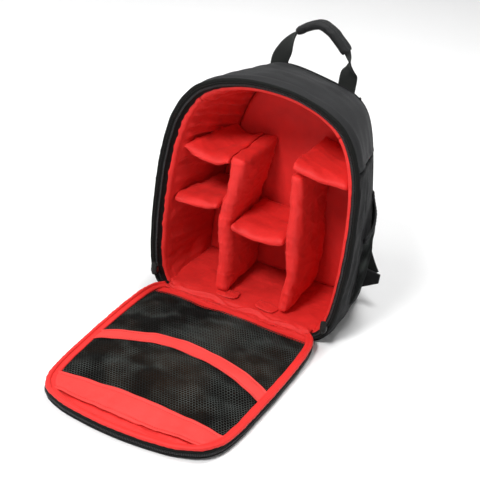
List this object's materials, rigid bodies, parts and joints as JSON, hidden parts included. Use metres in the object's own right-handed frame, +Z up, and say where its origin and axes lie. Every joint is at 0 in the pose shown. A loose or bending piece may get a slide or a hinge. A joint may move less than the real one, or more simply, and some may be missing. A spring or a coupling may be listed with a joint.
{
  "type": "camera backpack",
  "caption": "Backpack with a padded, divided compartment, its front panel unzipped and laid flat to show net pockets, with a grab handle and shoulder straps.",
  "frame": {"origin": "middle of the underside of the bag's base, on the floor", "axes": "+Z up, -Y towards the front panel laid open on the floor, +X to the right of someone facing the opening"},
  "size_m": [0.284, 0.4982, 0.3571],
  "materials": {
    "shell_fabric": "woven polyester, matt with a soft sheen",
    "lining_fabric": "fine red lining cloth over foam",
    "net": "open knitted net",
    "webbing": "woven webbing and tape",
    "plastic": "moulded"
  },
  "bodies": {
    "root": {"side_panel_left": "shell_fabric", "side_panel_right": "shell_fabric", "top_panel": "shell_fabric", "back_panel": "shell_fabric", "floor_panel": "shell_fabric", "lid_base": "shell_fabric", "hinge_outer": "shell_fabric", "yoke_patch": "shell_fabric", "strap_pad_left": "shell_fabric", "strap_pad_right": "shell_fabric", "handle_grip": "shell_fabric", "lining_left": "lining_fabric", "lining_right": "lining_fabric", "lining_top": "lining_fabric", "lining_floor": "lining_fabric", "lining_back": "lining_fabric", "lid_pad": "lining_fabric", "lid_binding": "lining_fabric", "band_middle": "lining_fabric", "band_far": "lining_fabric", "hinge_lining": "lining_fabric", "divider_left": "lining_fabric", "divider_right": "lining_fabric", "left_high_shelf": "lining_fabric", "left_low_shelf": "lining_fabric", "middle_shelf": "lining_fabric", "right_shelf": "lining_fabric", "net_near": "net", "net_far": "net", "side_pocket_left": "net", "side_pocket_right": "net", "back_pad": "net", "zip_strip": "webbing", "lid_rim": "webbing", "zip_pull_left": "webbing", "zip_pull_right": "webbing", "side_pocket_rim_left": "webbing", "side_pocket_rim_right": "webbing", "strap_webbing_left": "webbing", "strap_webbing_right": "webbing", "strap_wing_left": "webbing", "strap_wing_right": "webbing", "handle_leg_left": "webbing", "handle_leg_right": "webbing", "zip_slider_left": "plastic", "zip_slider_right": "plastic", "ladder_buckle_left": "plastic", "ladder_buckle_right": "plastic"}
  },
  "joints": []
}
